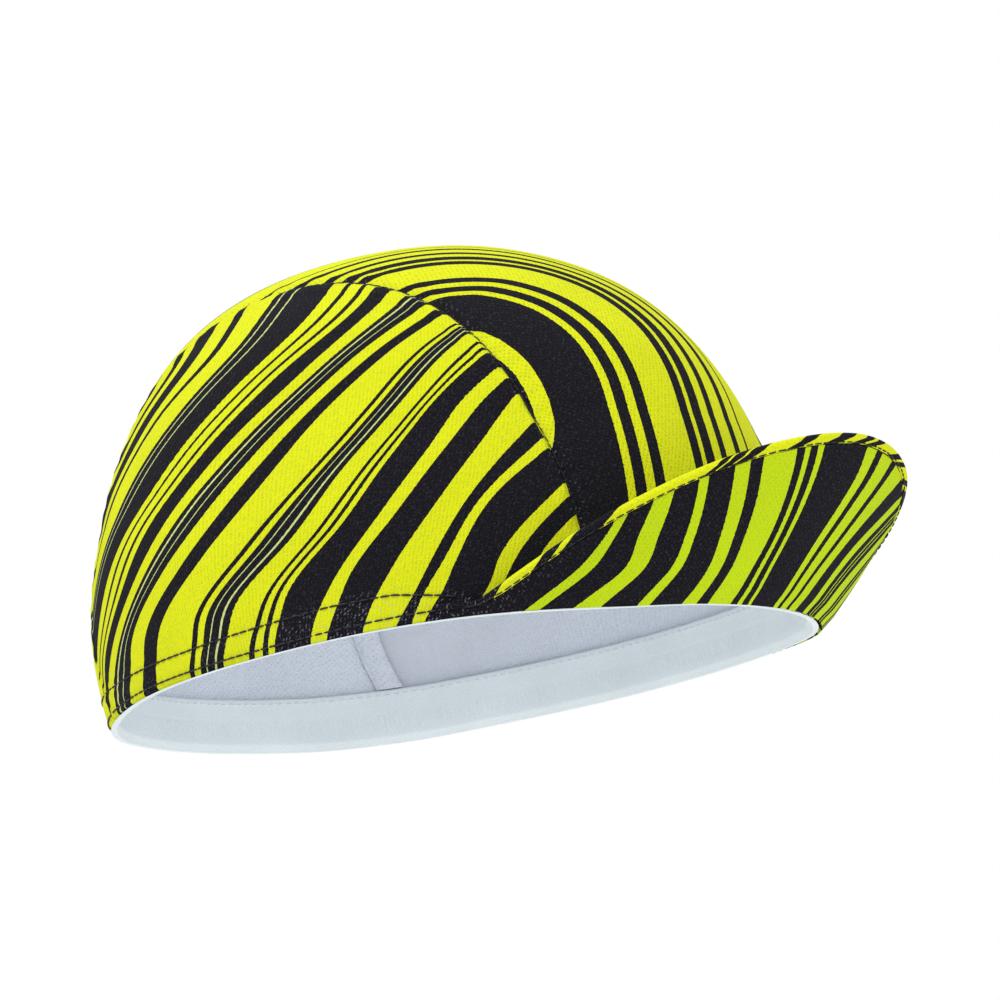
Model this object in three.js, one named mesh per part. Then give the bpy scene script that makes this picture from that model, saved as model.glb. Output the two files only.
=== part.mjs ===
import * as THREE from 'three';
import { mergeVertices } from 'three/addons/utils/BufferGeometryUtils.js';

// A three-panel cycling cap, as it sits on a head with its short peak flipped up.
// Millimetres. The origin is the middle of the head opening, on the plane of the rim.
// +X points forwards, +Y to the wearer's left and +Z up.

// Head opening and crown
const rimLength = 200; // outside, front to back
const rimWidth = 162; // outside, ear to ear
const crownHeight = 118;
const crownSetBack = 15; // the top lies this far behind the middle of the rim
const sideLift = 3; // the rim rises this much over the ears
const sideLiftFrom = 0.45; // share of the half width at which that rise begins
const backLift = 2; // and this much at the nape
const backLiftFrom = 0.6; // share of the half length at which that rise begins
const clothThickness = 1.2;
const pieceGap = 0.3;
const insideGap = 0.6; // between the crown and what is sewn inside it

// Form of the crown: powers of the curves that round it off, 2 being an ellipse
const planPower = 2.1;
const shoulderPower = 2.5;
const foreheadFullness = 0.4; // added to the shoulder power in front, taken off behind
const frontNarrowing = 0.02;
const bellySwell = 0.016; // outward swell above the rim, as a share of the half width
const bellyTop = 0.45; // share of the height where that swell ends

// Seams between the panels
const allowanceWidth = 6.5;
const allowanceLap = 1; // of that width, on the centre panel's side of the seam
const allowanceThickness = 1;
// Half the width of the centre panel as a share of the rim's width, from the front rim over the top
const seamStations = [
  { angle: 0, halfWidth: 0.296 },
  { angle: 60, halfWidth: 0.296 },
  { angle: 100, halfWidth: 0.281 },
  { angle: 140, halfWidth: 0.306 },
  { angle: 180, halfWidth: 0.365 },
];

// Sweatband
const bandHeight = 15.5; // from the rim up
const bandThickness = 1.4;

// Peak, flipped up: a crescent that leans out from the front of the rim
const peakDepth = 50; // from the root to the middle of the edge
const peakSpread = 54; // plan angle in degrees from the middle to each end
const peakTurn = 0.9; // share of the rim's turning that the peak's sides follow
const peakRoundness = 1.8;
const peakTaper = 1.65;
const peakLean = 44; // degrees from upright, in the middle
const peakEndLean = 31; // degrees from upright, at the ends
const peakRootDrop = 1; // the root folds this far below the rim
const peakEndDepth = 3;
const coverThickness = 1.25;
const coverEndShare = 0.5; // share of that thickness towards the ends
const coverEndReach = 8; // peak depth at which the covers have their full thickness
const coverRootShare = 0.6; // share of it where the covers are sewn to the rim
const coverRootReach = 6; // distance from the root over which they thicken
const edgeBandWidth = 2.8; // the upper cover turns over the edge this far
const edgeBandShare = 0.45; // of the peak's depth at most, where it is shallow
const edgeBandProud = 0.2;
const edgeRound = 0.5;

// Facets
const seamSteps = 32;
const panelRows = 10;
const bandSteps = 56;
const allowanceSteps = 24;
const peakSteps = 32;
const peakStops = [0, 0.12, 0.5, 1]; // shares of the way from the root to the edge band
const halvings = 40; // of the ray in which a surface point is searched
const mergeDistance = 1e-3;

const halfLength = rimLength / 2;
const halfWidth = rimWidth / 2;
const degrees = THREE.MathUtils.degToRad;
const { clamp, lerp, smoothstep } = THREE.MathUtils;

// Half width of the centre panel where a section's ray stands at this angle from the front
function seamHalfWidth(sectionAngle) {
  const angle = clamp(THREE.MathUtils.radToDeg(sectionAngle), 0, 180);
  const next = Math.max(1, seamStations.findIndex((station) => station.angle >= angle));
  const from = seamStations[next - 1];
  const to = seamStations[next];
  const share = smoothstep(angle, from.angle, to.angle);
  return rimWidth * lerp(from.halfWidth, to.halfWidth, share);
}

// Above zero outside the crown and below zero inside it. An inset shrinks the crown all round.
function crownLevel(point, inset) {
  const rise = clamp(point.z / (crownHeight - inset), 0, 1);
  const ahead = clamp(point.x / halfLength, -1, 1);
  const power = shoulderPower + foreheadFullness * ahead;
  const swell = 1 + bellySwell * Math.sin(Math.PI * Math.min(rise / bellyTop, 1));
  const size = swell * (1 - rise ** power) ** (1 / power);
  const along = Math.abs(point.x + crownSetBack * rise) / (halfLength - inset);
  const across = Math.abs(point.y) / ((halfWidth - inset) * (1 - frontNarrowing * ahead));
  return (along ** planPower + across ** planPower) ** (1 / planPower) - size;
}

// Where a ray from inside the crown meets its surface
function crownHit(start, direction, inset) {
  let inner = 0;
  let outer = rimLength;
  for (let step = 0; step < halvings; step += 1) {
    const middle = (inner + outer) / 2;
    if (crownLevel(start.clone().addScaledVector(direction, middle), inset) > 0) outer = middle;
    else inner = middle;
  }
  return start.clone().addScaledVector(direction, inner);
}

function hitAtHeight(planAngle, height, inset) {
  const start = new THREE.Vector3((-crownSetBack * height) / crownHeight, 0, height);
  return crownHit(start, new THREE.Vector3(Math.cos(planAngle), Math.sin(planAngle), 0), inset);
}

function hitOnSection(y, sectionAngle, inset) {
  const direction = new THREE.Vector3(Math.cos(sectionAngle), 0, Math.sin(sectionAngle));
  return crownHit(new THREE.Vector3(0, y, 0), direction, inset);
}

// The section angle at which the crown reaches a height, in front or behind
function angleAtHeight(y, height, inset, behind) {
  let below = behind ? Math.PI : 0;
  let above = Math.PI / 2;
  for (let step = 0; step < halvings; step += 1) {
    const middle = (below + above) / 2;
    if (hitOnSection(y, middle, inset).z < height) below = middle;
    else above = middle;
  }
  return above;
}

// Lifts a point with the rim over the ears and at the nape
function lifted(point) {
  const side = smoothstep(Math.abs(point.y) / halfWidth, sideLiftFrom, 1);
  const behind = smoothstep(-point.x / halfLength, backLiftFrom, 1);
  const low = 1 - clamp(point.z / crownHeight, 0, 1);
  return new THREE.Vector3(point.x, point.y, point.z + (sideLift * side + backLift * behind) * low ** 2);
}

function steps(count) {
  return Array.from({ length: count + 1 }, (_, index) => index / count);
}

// A solid through closed loops of points. Each loop runs out along one face and back along the other,
// so its first half faces its second half, and the two end loops are closed off between them.
function loftedSolid(loops, ring = false) {
  const triangles = [];
  const quad = (a, b, c, d) => triangles.push(a, b, c, a, c, d);
  const count = loops[0].length;
  const spans = ring ? loops.length : loops.length - 1;
  for (let span = 0; span < spans; span += 1) {
    const here = loops[span];
    const there = loops[(span + 1) % loops.length];
    for (let index = 0; index < count; index += 1) {
      const next = (index + 1) % count;
      quad(here[index], here[next], there[next], there[index]);
    }
  }
  if (!ring) {
    const first = loops[0];
    const last = loops[loops.length - 1];
    for (let index = 0; index < count / 2 - 1; index += 1) {
      const facing = count - 1 - index;
      quad(first[index], first[facing], first[facing - 1], first[index + 1]);
      quad(last[index + 1], last[facing - 1], last[facing], last[index]);
    }
  }
  return facingOut(triangles);
}

// One closed geometry from corner points, three to a triangle, without the ones that have no area
function facingOut(corners) {
  const merged = mergeVertices(new THREE.BufferGeometry().setFromPoints(corners), mergeDistance);
  const position = merged.getAttribute('position');
  const index = merged.getIndex();
  const kept = [];
  let volume = 0;
  const point = (corner) => new THREE.Vector3().fromBufferAttribute(position, corner);
  for (let corner = 0; corner < index.count; corner += 3) {
    const [a, b, c] = [0, 1, 2].map((offset) => index.getX(corner + offset));
    if (a !== b && b !== c && c !== a) {
      kept.push([a, b, c]);
      volume += point(a).dot(point(b).cross(point(c)));
    }
  }
  const turned = volume < 0 ? kept.map(([a, b, c]) => [a, c, b]) : kept;
  const geometry = new THREE.BufferGeometry();
  geometry.setAttribute('position', position);
  geometry.setIndex(turned.flat());
  geometry.computeVertexNormals();
  return geometry;
}

// Points along one face of a sheet and back along the other
function sheetLoop(shares, pointAt) {
  const outer = shares.map((share) => pointAt(share, 0));
  const inner = shares.map((share) => pointAt(share, 1));
  return [...outer, ...inner.reverse()];
}

function centrePanel() {
  const across = steps(panelRows).map((share) => 2 * share - 1);
  const loops = steps(seamSteps).map((along) => {
    const angle = Math.PI * along;
    const reach = seamHalfWidth(angle);
    return sheetLoop(across, (share, face) => lifted(hitOnSection(reach * share, angle, clothThickness * face)));
  });
  return loftedSolid(loops);
}

// Side panel: its columns run from the rim up to the seam and shrink to nothing at the two corners
function sidePanel(side) {
  const seamPoint = (along, inset) => {
    const angle = Math.PI * along;
    const point = hitOnSection(side * (seamHalfWidth(angle) + pieceGap), angle, inset);
    const axis = (-crownSetBack * point.z) / crownHeight;
    return { height: point.z, planAngle: Math.atan2(point.y, point.x - axis) };
  };
  const corners = [0, clothThickness].map((inset) => [seamPoint(0, inset), seamPoint(1, inset)]);
  const loops = steps(seamSteps).map((along) => sheetLoop(steps(panelRows), (share, face) => {
    const inset = clothThickness * face;
    const top = seamPoint(along, inset);
    const [front, back] = corners[face];
    const rimAngle = lerp(front.planAngle, back.planAngle, along);
    return lifted(hitAtHeight(lerp(rimAngle, top.planAngle, share), top.height * share, inset));
  }));
  return loftedSolid(loops);
}

function sweatband() {
  const outerInset = clothThickness + insideGap;
  const loops = steps(bandSteps).slice(1).map((turn) => sheetLoop(steps(2), (share, face) => lifted(
    hitAtHeight(2 * Math.PI * turn, bandHeight * share, outerInset + bandThickness * face),
  )));
  return loftedSolid(loops, true);
}

// Turned-in seam allowance: a strip inside the crown along one seam, from sweatband to sweatband
function seamAllowance(side) {
  const foot = bandHeight + insideGap;
  const sides = [-allowanceLap, allowanceWidth - allowanceLap];
  const outerInset = clothThickness + insideGap;
  const footAngle = (end, behind) => {
    const y = side * (seamHalfWidth(end) + sides[1]);
    return angleAtHeight(y, foot, outerInset + allowanceThickness, behind);
  };
  const front = footAngle(0, false);
  const back = footAngle(Math.PI, true);
  const loops = steps(allowanceSteps).map((along) => {
    const angle = lerp(front, back, along);
    return sheetLoop(sides, (reach, face) => {
      const y = side * (seamHalfWidth(angle) + reach);
      return lifted(hitOnSection(y, angle, outerInset + allowanceThickness * face));
    });
  });
  return loftedSolid(loops);
}

// The flipped peak at one place along the rim, from -1 at the wearer's right end to 1 at the left.
// pointAt takes a distance from the root and a count of covers in from the outer face, where a gap
// in millimetres may be added.
function peakStation(place) {
  const planAngle = degrees(peakSpread) * place;
  const root = hitAtHeight(planAngle, 0, 0);
  const facing = peakTurn * Math.atan2(root.y / halfWidth ** 2, root.x / halfLength ** 2);
  const outward = new THREE.Vector3(Math.cos(facing), Math.sin(facing), 0);
  const upward = new THREE.Vector3(0, 0, 1);
  const lean = degrees(lerp(peakLean, peakEndLean, place ** 2));
  const shape = Math.max(0, 1 - Math.abs(place) ** peakRoundness) ** peakTaper;
  const depth = Math.max(peakEndDepth, peakDepth * shape);
  const endShare = lerp(coverEndShare, 1, Math.min(1, depth / coverEndReach));
  const thickness = (along) => {
    const rootShare = lerp(coverRootShare, 1, Math.min(1, along / coverRootReach));
    return coverThickness * endShare * rootShare;
  };
  const face = outward.clone().multiplyScalar(Math.sin(lean)).addScaledVector(upward, Math.cos(lean));
  const inward = outward.clone().multiplyScalar(-Math.cos(lean)).addScaledVector(upward, Math.sin(lean));
  const start = lifted(root)
    .addScaledVector(outward, 2 * pieceGap + 2 * thickness(0))
    .addScaledVector(upward, -peakRootDrop * (1 - place ** 2));
  const pointAt = (along, covers, gap) => start.clone()
    .addScaledVector(face, along)
    .addScaledVector(inward, covers * thickness(along) + gap);
  return { depth, band: Math.min(edgeBandWidth, edgeBandShare * depth), pointAt };
}

function peakUnderCover() {
  const loops = steps(peakSteps).map((share) => {
    const { depth, band, pointAt } = peakStation(2 * share - 1);
    return sheetLoop(peakStops, (stop, face) => pointAt(stop * (depth - band - pieceGap), face, 0));
  });
  return loftedSolid(loops);
}

// The upper cover lies against the crown when the peak is up, and turns over the edge as a narrow band
function peakUpperCover() {
  const loops = steps(peakSteps).map((share) => {
    const { depth, band, pointAt } = peakStation(2 * share - 1);
    const bodyStops = peakStops.map((stop) => stop * (depth - band));
    const back = [
      ...bodyStops.map((along) => pointAt(along, 2, pieceGap)),
      pointAt(depth - band / 2, 2, pieceGap),
      pointAt(depth, 2, pieceGap),
      pointAt(depth + edgeRound, 2, pieceGap - edgeRound),
    ];
    const front = [
      ...bodyStops.map((along) => pointAt(along, 1, pieceGap)),
      pointAt(depth - band, 0, -edgeBandProud),
      pointAt(depth, 0, -edgeBandProud),
      pointAt(depth + edgeRound, 0, edgeRound),
    ];
    return [...back, ...front.reverse()];
  });
  return loftedSolid(loops);
}

const yellowCloth = new THREE.MeshStandardMaterial({ color: 0xe4ea10, roughness: 0.85, metalness: 0 });
const blackCloth = new THREE.MeshStandardMaterial({ color: 0x1d1822, roughness: 0.85, metalness: 0 });
const paleElastic = new THREE.MeshStandardMaterial({ color: 0xccdde0, roughness: 0.9, metalness: 0 });
const insideCloth = new THREE.MeshStandardMaterial({ color: 0xbfc6d8, roughness: 0.9, metalness: 0 });

function piece(name, geometry, material) {
  const mesh = new THREE.Mesh(geometry, material.clone());
  mesh.name = name;
  return mesh;
}

const group = new THREE.Group();
group.name = 'cycling_cap';
group.add(
  piece('crown_centre_panel', centrePanel(), yellowCloth),
  piece('crown_side_panel_right', sidePanel(-1), yellowCloth),
  piece('crown_side_panel_left', sidePanel(1), yellowCloth),
  piece('seam_allowance_right', seamAllowance(-1), insideCloth),
  piece('seam_allowance_left', seamAllowance(1), insideCloth),
  piece('sweatband', sweatband(), paleElastic),
  piece('peak_upper_cover', peakUpperCover(), yellowCloth),
  piece('peak_under_cover', peakUnderCover(), blackCloth),
);

export default group;
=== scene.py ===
import math

import bmesh
import bpy
import numpy as np
from mathutils import Matrix, Vector


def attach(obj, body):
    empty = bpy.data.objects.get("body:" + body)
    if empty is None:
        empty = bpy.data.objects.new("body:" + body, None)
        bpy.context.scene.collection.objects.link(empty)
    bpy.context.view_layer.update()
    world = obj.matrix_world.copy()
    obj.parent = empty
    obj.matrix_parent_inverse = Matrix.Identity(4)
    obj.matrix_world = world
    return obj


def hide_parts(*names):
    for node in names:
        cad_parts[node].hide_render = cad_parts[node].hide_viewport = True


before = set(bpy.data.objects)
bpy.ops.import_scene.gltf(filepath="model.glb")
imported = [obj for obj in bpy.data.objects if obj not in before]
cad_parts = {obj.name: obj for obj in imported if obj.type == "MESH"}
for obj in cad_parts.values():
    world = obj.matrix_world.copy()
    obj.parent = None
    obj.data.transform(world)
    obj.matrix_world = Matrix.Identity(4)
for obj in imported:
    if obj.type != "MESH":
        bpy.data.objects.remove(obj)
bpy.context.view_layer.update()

mm = 0.001

# The form of the cap in millimetres, as the solids have it
cap = {
    "rimLength": 200,
    "rimWidth": 162,
    "crownHeight": 118,
    "crownSetBack": 15,
    "sideLift": 3,
    "sideLiftFrom": 0.45,
    "backLift": 2,
    "backLiftFrom": 0.6,
    "clothThickness": 1.2,
    "pieceGap": 0.3,
    "insideGap": 0.6,
    "planPower": 2.1,
    "shoulderPower": 2.5,
    "foreheadFullness": 0.4,
    "frontNarrowing": 0.02,
    "bellySwell": 0.016,
    "bellyTop": 0.45,
    "seamStations": ((0, 0.296), (60, 0.296), (100, 0.281), (140, 0.306), (180, 0.365)),
}
halfLength = cap["rimLength"] / 2
halfWidth = cap["rimWidth"] / 2
halvings = 44  # of the ray that looks for the surface
rayReach = 200


def smoothStep(value, low, high):
    share = np.clip((value - low) / (high - low), 0, 1)
    return share * share * (3 - 2 * share)


def lerp(first, last, share):
    return first + (last - first) * share


def unit(vectors):
    length = np.linalg.norm(vectors, axis=-1, keepdims=True)
    return vectors / np.maximum(length, 1e-12)


# Half width of the centre panel where a section's ray stands at this angle from the front
def seamHalfWidth(angle):
    turned = np.degrees(angle)
    stations = cap["seamStations"]
    share = np.zeros_like(turned) + stations[0][1]
    for (start, low), (end, high) in zip(stations, stations[1:]):
        share = share + (high - low) * smoothStep(turned, start, end)
    return share * cap["rimWidth"]


# Above zero outside the crown and below zero inside it
def crownLevel(point, inset):
    x, y, z = point[..., 0], point[..., 1], point[..., 2]
    rise = np.clip(z / (cap["crownHeight"] - inset), 0, 1)
    ahead = np.clip(x / halfLength, -1, 1)
    power = cap["shoulderPower"] + cap["foreheadFullness"] * ahead
    swell = 1 + cap["bellySwell"] * np.sin(np.pi * np.minimum(rise / cap["bellyTop"], 1))
    size = swell * np.maximum(1 - rise ** power, 0) ** (1 / power)
    along = np.abs(x + cap["crownSetBack"] * rise) / (halfLength - inset)
    across = np.abs(y) / ((halfWidth - inset) * (1 - cap["frontNarrowing"] * ahead))
    plan = cap["planPower"]
    return (along ** plan + across ** plan) ** (1 / plan) - size


def crownHit(start, direction, inset):
    inner = np.zeros(direction.shape[:-1])
    outer = inner + rayReach
    for _ in range(halvings):
        middle = (inner + outer) / 2
        outside = crownLevel(start + direction * middle[..., None], inset) > 0
        outer = np.where(outside, middle, outer)
        inner = np.where(outside, inner, middle)
    return start + direction * inner[..., None]


def hitAtHeight(planAngle, height, inset):
    planAngle, height = np.broadcast_arrays(planAngle, height)
    none = np.zeros(planAngle.shape)
    start = np.stack([-cap["crownSetBack"] * height / cap["crownHeight"], none, height + none], -1)
    direction = np.stack([np.cos(planAngle), np.sin(planAngle), none], -1)
    return crownHit(start, direction, inset)


def hitOnSection(y, angle, inset):
    y, angle = np.broadcast_arrays(y, angle)
    none = np.zeros(y.shape)
    direction = np.stack([np.cos(angle), none, np.sin(angle)], -1)
    return crownHit(np.stack([none, y + none, none], -1), direction, inset)


# Lifts a point with the rim over the ears and at the nape
def lifted(point):
    side = smoothStep(np.abs(point[..., 1]) / halfWidth, cap["sideLiftFrom"], 1)
    behind = smoothStep(-point[..., 0] / halfLength, cap["backLiftFrom"], 1)
    low = 1 - np.clip(point[..., 2] / cap["crownHeight"], 0, 1)
    moved = point.copy()
    moved[..., 2] += (cap["sideLift"] * side + cap["backLift"] * behind) * low ** 2
    return moved


def crownNormal(point):
    step = 0.05
    slopes = []
    for axis in range(3):
        offset = np.zeros(3)
        offset[axis] = step
        slopes.append(crownLevel(point + offset, 0) - crownLevel(point - offset, 0))
    return unit(np.stack(slopes, -1))


# Distance run along the first or second axis of a grid of points
def runAlong(points, axis):
    steps = np.linalg.norm(np.diff(points, axis=axis), axis=-1)
    start = np.zeros_like(np.take(steps, [0], axis=axis))
    return np.cumsum(np.concatenate([start, steps], axis=axis), axis=axis)


print("stage: camera and lights")

# Where the photograph was taken from, and what its middle looks at
view = {
    "azimuth": 38.0,
    "elevation": -9.7,
    "roll": 7.1,
    "distance": 1.35,
    "lens": 183.2,
    "aimRight": 0.00968,
    "aimUp": 0.04928,
}


def addObject(name, data):
    added = bpy.data.objects.new(name, data)
    bpy.context.scene.collection.objects.link(added)
    return added


def makeCamera():
    turn, tilt, roll = (math.radians(view[key]) for key in ("azimuth", "elevation", "roll"))
    sight = Vector((math.sin(turn) * math.cos(tilt), -math.cos(turn) * math.cos(tilt), math.sin(tilt)))
    level = Vector((math.cos(turn), math.sin(turn), 0))
    upward = sight.cross(level)
    right = level * math.cos(roll) - upward * math.sin(roll)
    top = level * math.sin(roll) + upward * math.cos(roll)
    place = sight * view["distance"]
    back = (place - right * view["aimRight"] - top * view["aimUp"]).normalized()
    side = top.cross(back).normalized()
    over = back.cross(side)
    data = bpy.data.cameras.new("camera")
    data.sensor_width = 36
    data.lens = view["lens"]
    data.clip_start = 0.05
    data.clip_end = 20
    camera = addObject("camera", data)
    turned = Matrix((side, over, back)).transposed().to_4x4()
    camera.matrix_world = Matrix.Translation(place) @ turned
    bpy.context.scene.camera = camera


studio = {
    "floorHeight": -0.30,
    "floorSize": 6.0,
    "floorColour": (0.86, 0.86, 0.85, 1),
    "backdrop": (1.0, 1.0, 1.0, 1),
    "softLight": (0.60, 0.64, 0.665, 1),
    "lamps": (
        # name, place, size, watts
        ("keyLight", (-0.55, -1.35, 1.45), 1.2, 16),
        ("topLight", (-0.1, 0.1, 1.9), 1.2, 8.5),
        ("frontLight", (1.35, 0.1, 1.0), 1.0, 2.5),
        ("lowLight", (0.8, -0.05, -0.23), 0.4, 1.2),
    ),
}


def makeStudio():
    world = bpy.data.worlds.new("studioWorld")
    world.use_nodes = True
    tree = world.node_tree
    soft = tree.nodes["Background"]
    soft.inputs["Color"].default_value = studio["softLight"]
    backdrop = tree.nodes.new("ShaderNodeBackground")
    backdrop.inputs["Color"].default_value = studio["backdrop"]
    seen = tree.nodes.new("ShaderNodeLightPath")
    blend = tree.nodes.new("ShaderNodeMixShader")
    tree.links.new(seen.outputs["Is Camera Ray"], blend.inputs[0])
    tree.links.new(soft.outputs[0], blend.inputs[1])
    tree.links.new(backdrop.outputs[0], blend.inputs[2])
    tree.links.new(blend.outputs[0], tree.nodes["World Output"].inputs["Surface"])
    bpy.context.scene.world = world
    bpy.context.scene.view_settings.view_transform = "Standard"  # keeps the bright yellow as it is dyed
    for name, place, size, watts in studio["lamps"]:
        data = bpy.data.lights.new(name, "AREA")
        data.energy = watts
        data.size = size
        lamp = addObject(name, data)
        lamp.location = place
        lamp.rotation_euler = (Vector((0, 0, 0.05)) - Vector(place)).to_track_quat("-Z", "Y").to_euler()
    mesh = bpy.data.meshes.new("floor")
    half = studio["floorSize"] / 2
    level = studio["floorHeight"]
    corners = [(-half, -half, level), (half, -half, level), (half, half, level), (-half, half, level)]
    mesh.from_pydata(corners, [], [(0, 1, 2, 3)])
    material = bpy.data.materials.new("floorPaper")
    material.use_nodes = True
    surface = material.node_tree.nodes["Principled BSDF"]
    surface.inputs["Base Color"].default_value = studio["floorColour"]
    surface.inputs["Roughness"].default_value = 0.9
    mesh.materials.append(material)
    addObject("floor", mesh)


makeCamera()
makeStudio()

print("stage: materials")


class Nodes:
    # A short way to add nodes to one tree
    def __init__(self, tree):
        self.tree = tree
        self.column = 0

    def add(self, kind, **settings):
        node = self.tree.nodes.new(kind)
        node.location = (self.column * 190 - 1400, 0)
        self.column += 1
        for key, value in settings.items():
            setattr(node, key, value)
        return node

    def feed(self, socket, value):
        if isinstance(value, bpy.types.NodeSocket):
            self.tree.links.new(value, socket)
        else:
            socket.default_value = value

    def math(self, operation, first, second=0.0, third=None):
        node = self.add("ShaderNodeMath", operation=operation)
        self.feed(node.inputs[0], first)
        self.feed(node.inputs[1], second)
        if third is not None:
            self.feed(node.inputs[2], third)
        return node.outputs[0]

    def mix(self, share, first, second, blend="MIX"):
        node = self.add("ShaderNodeMix", data_type="RGBA", blend_type=blend)
        self.feed(node.inputs["Factor"], share)
        self.feed(node.inputs[6], first)
        self.feed(node.inputs[7], second)
        return node.outputs[2]

    def noise(self, vector, scale, detail=2.0):
        node = self.add("ShaderNodeTexNoise")
        self.feed(node.inputs["Vector"], vector)
        self.feed(node.inputs["Scale"], scale)
        self.feed(node.inputs["Detail"], detail)
        return node.outputs["Fac"]

    def mapRange(self, value, low, high, toLow=0.0, toHigh=1.0):
        node = self.add("ShaderNodeMapRange")
        self.feed(node.inputs["Value"], value)
        self.feed(node.inputs["From Min"], low)
        self.feed(node.inputs["From Max"], high)
        self.feed(node.inputs["To Min"], toLow)
        self.feed(node.inputs["To Max"], toHigh)
        return node.outputs["Result"]

    def wave(self, across, pitch):
        turns = self.math("DIVIDE", across, pitch)
        return self.math("SINE", self.math("MULTIPLY", turns, 2 * math.pi))


# Inputs come with their defaults: none for a vector, four numbers for a colour
def newGroup(name, inputs, outputs):
    tree = bpy.data.node_groups.new(name, "ShaderNodeTree")
    for label, value in inputs.items():
        kind = "NodeSocketVector" if value is None else "NodeSocketFloat"
        if isinstance(value, tuple):
            kind = "NodeSocketColor"
        socket = tree.interface.new_socket(label, in_out="INPUT", socket_type=kind)
        if value is not None:
            socket.default_value = value
    for label in outputs:
        kind = "NodeSocketColor" if label == "Colour" else "NodeSocketFloat"
        tree.interface.new_socket(label, in_out="OUTPUT", socket_type=kind)
    nodes = Nodes(tree)
    return tree, nodes, nodes.add("NodeGroupInput"), nodes.add("NodeGroupOutput")


# Scales are per millimetre of cloth
knitLook = {
    "wobbleScale": 0.22,
    "wobble": 1.6,
    "grainScale": 2.2,
    "patchScale": 0.9,
    "unevenness": 3.0,
    "broadScale": 0.045,
    "grainHeight": 0.8,
    "loopHeight": -0.15,
    "eyeletSpan": (0.35, 1.0),
}
# Each gives the span of a map that counts, and some the span that it turns into
fadeLook = {
    "brightGrain": (0.5, 0.66),
    "openEyelet": (0.05, 0.7),
    "wornPatch": (0.5, 0.62, 0.03, 1.0),
    "broadTone": (0.3, 0.7, 0.965, 1.03),
    "grainTone": (0.35, 0.65, 0.95, 1.04),
}


# Knit with small sunk eyelets in staggered rows. Its coordinate is in millimetres of cloth.
def makeKnitGroup():
    inputs = {"Cloth": None, "Eyelet Pitch": 1.25, "Course Pitch": 1.9, "Slant": 0.1, "Eyelet Depth": 0.7}
    outputs = ("Height", "Eyelet", "Grain", "Broad", "Patch")
    tree, nodes, entry, leave = newGroup("knitWeave", inputs, outputs)
    cloth = entry.outputs["Cloth"]
    split = nodes.add("ShaderNodeSeparateXYZ")
    nodes.feed(split.inputs[0], cloth)
    wobble = nodes.math("MULTIPLY", nodes.noise(cloth, knitLook["wobbleScale"]), knitLook["wobble"])
    across = nodes.math("MULTIPLY_ADD", split.outputs["Y"], entry.outputs["Slant"], split.outputs["X"])
    first = nodes.wave(nodes.math("ADD", across, wobble), entry.outputs["Eyelet Pitch"])
    second = nodes.wave(nodes.math("ADD", split.outputs["Y"], wobble), entry.outputs["Course Pitch"])
    grain = nodes.noise(cloth, knitLook["grainScale"], 3.0)
    patch = nodes.noise(cloth, knitLook["patchScale"])
    uneven = nodes.math("MULTIPLY", nodes.math("SUBTRACT", patch, 0.5), knitLook["unevenness"])
    lattice = nodes.math("ADD", nodes.math("MULTIPLY", first, second), uneven)
    eyelet = nodes.mapRange(lattice, *knitLook["eyeletSpan"])
    loops = nodes.math("MULTIPLY", lattice, knitLook["loopHeight"])
    body = nodes.math("MULTIPLY_ADD", grain, knitLook["grainHeight"], loops)
    sunk = nodes.math("MULTIPLY", eyelet, entry.outputs["Eyelet Depth"])
    results = {
        "Height": nodes.math("SUBTRACT", body, sunk),
        "Eyelet": eyelet,
        "Grain": grain,
        "Broad": nodes.noise(cloth, knitLook["broadScale"], 2.0),
        "Patch": patch,
    }
    for label, value in results.items():
        nodes.feed(leave.inputs[label], value)
    return tree


# The look of dyed cloth: eyelets in shade, flecks of bare yarn, and slight variation in broad areas
def makeFadeGroup():
    grey = (0.5, 0.5, 0.5, 1)
    inputs = {
        "Colour": grey,
        "Yarn Colour": grey,
        "Eyelet": 0.0,
        "Grain": 0.5,
        "Broad": 0.5,
        "Patch": 0.5,
        "Wear": 0.0,
        "Fleck": 0.1,
        "Eyelet Shade": 0.2,
    }
    tree, nodes, entry, leave = newGroup("clothFade", inputs, ("Colour",))

    def spanOf(label, span):
        return nodes.mapRange(entry.outputs[label], *fadeLook[span])

    bare = nodes.math("MULTIPLY", entry.outputs["Wear"], spanOf("Eyelet", "openEyelet"))
    bare = nodes.math("MULTIPLY", bare, spanOf("Patch", "wornPatch"))
    bright = spanOf("Grain", "brightGrain")
    fleck = nodes.math("MULTIPLY_ADD", bright, entry.outputs["Fleck"], bare)
    yarn = nodes.mix(fleck, entry.outputs["Colour"], entry.outputs["Yarn Colour"], "LIGHTEN")
    shade = nodes.math("MULTIPLY", entry.outputs["Eyelet"], entry.outputs["Eyelet Shade"])
    level = nodes.math("SUBTRACT", 1.0, shade)
    level = nodes.math("MULTIPLY", level, spanOf("Broad", "broadTone"))
    level = nodes.math("MULTIPLY", level, spanOf("Grain", "grainTone"))
    shading = nodes.add("ShaderNodeCombineColor")
    for index in range(3):
        nodes.feed(shading.inputs[index], level)
    nodes.feed(leave.inputs["Colour"], nodes.mix(1.0, yarn, shading.outputs[0], "MULTIPLY"))
    return tree


knitGroup = makeKnitGroup()
fadeGroup = makeFadeGroup()

dyes = {
    "yellow": (0.81, 0.84, 0.006, 1),
    "black": (0.0065, 0.005, 0.0085, 1),
    "pale": (0.68, 0.74, 0.26, 1),
    "yarn": (0.50, 0.50, 0.60, 1),
    "lavender": (0.84, 0.87, 0.95, 1),
    "mint": (0.90, 0.955, 0.965, 1),
    "threadBlack": (0.010, 0.010, 0.014, 1),
    "threadPale": (0.95, 0.96, 0.98, 1),
}
shadedPeakYellow = (0.59, 0.75, 0.004, 1)  # painted shade: a darker, greener yellow for the peak's under cover, which lies in shade


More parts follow.
